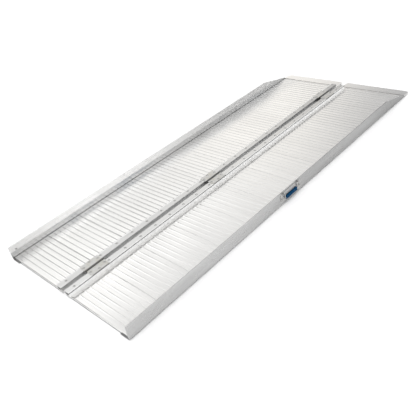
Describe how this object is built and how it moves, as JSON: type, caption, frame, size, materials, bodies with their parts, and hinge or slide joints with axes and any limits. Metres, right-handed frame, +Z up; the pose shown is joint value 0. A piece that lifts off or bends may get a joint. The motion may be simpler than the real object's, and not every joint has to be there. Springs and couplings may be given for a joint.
{
  "type": "portable wheelchair ramp",
  "caption": "Folding aluminium wheelchair ramp opened flat, with ribbed plank decks, raised side kerbs, middle hinges, top lips and swing carry handles.",
  "frame": {"origin": "on the floor under the middle of the opened ramp", "axes": "+X across to the right seen from the bottom end, +Y along the ramp to the top lip, +Z up"},
  "size_m": [0.7152, 1.83, 0.058],
  "materials": {
    "deck_plank": "mill finish extrusion",
    "outer_rail": "satin mill finish extrusion",
    "inner_rail": "satin mill finish extrusion",
    "lip_plate": "rolled plate",
    "rivet": "plain",
    "hinge_steel": "zinc plated",
    "handle_plate": "plain plate",
    "handle_bail": "zinc plated wire",
    "screw_steel": "zinc plated",
    "grip_blue": "moulded",
    "rubber_strip": "matte"
  },
  "bodies": {
    "left_panel": {"hinge_pins": "hinge_steel", "left_flange_rivets": "rivet", "left_foot_strip": "rubber_strip", "left_handle_plate": "handle_plate", "left_handle_screws": "screw_steel", "left_hinge_leaf_1": "hinge_steel", "left_hinge_leaf_2": "hinge_steel", "left_hinge_leaf_3": "hinge_steel", "left_hinge_rivets": "rivet", "left_inner_rail": "inner_rail", "left_inner_rail_rivets": "rivet", "left_kerb_rivet": "rivet", "left_lip_pad": "rubber_strip", "left_lip_rivets": "rivet", "left_outer_rail": "outer_rail", "left_plank_01": "deck_plank", "left_plank_02": "deck_plank", "left_plank_03": "deck_plank", "left_plank_04": "deck_plank", "left_plank_05": "deck_plank", "left_plank_06": "deck_plank", "left_plank_07": "deck_plank", "left_plank_08": "deck_plank", "left_plank_09": "deck_plank", "left_plank_10": "deck_plank", "left_plank_11": "deck_plank", "left_plank_12": "deck_plank", "left_top_lip": "lip_plate"},
    "right_panel": {"right_flange_rivets": "rivet", "right_foot_strip": "rubber_strip", "right_handle_plate": "handle_plate", "right_handle_screws": "screw_steel", "right_hinge_leaf_1": "hinge_steel", "right_hinge_leaf_2": "hinge_steel", "right_hinge_leaf_3": "hinge_steel", "right_hinge_rivets": "rivet", "right_inner_rail": "inner_rail", "right_inner_rail_rivets": "rivet", "right_kerb_rivet": "rivet", "right_lip_pad": "rubber_strip", "right_lip_rivets": "rivet", "right_outer_rail": "outer_rail", "right_plank_01": "deck_plank", "right_plank_02": "deck_plank", "right_plank_03": "deck_plank", "right_plank_04": "deck_plank", "right_plank_05": "deck_plank", "right_plank_06": "deck_plank", "right_plank_07": "deck_plank", "right_plank_08": "deck_plank", "right_plank_09": "deck_plank", "right_plank_10": "deck_plank", "right_plank_11": "deck_plank", "right_plank_12": "deck_plank", "right_top_lip": "lip_plate"},
    "left_handle": {"left_handle_bail": "handle_bail", "left_handle_grip": "grip_blue"},
    "right_handle": {"right_handle_bail": "handle_bail", "right_handle_grip": "grip_blue"}
  },
  "joints": [
    {"name": "fold", "type": "hinge", "parent": "left_panel", "child": "right_panel", "pos_m": [0, 0, 0.0285], "axis": [0, -1, 0], "range_deg": [0, 168]},
    {"name": "left_handle_swing", "type": "hinge", "parent": "left_panel", "child": "left_handle", "pos_m": [-0.3546, -0.089, 0.048], "axis": [0, 1, 0], "range_deg": [0, 90]},
    {"name": "right_handle_swing", "type": "hinge", "parent": "right_panel", "child": "right_handle", "pos_m": [0.3546, -0.089, 0.048], "axis": [0, -1, 0], "range_deg": [0, 90]}
  ]
}
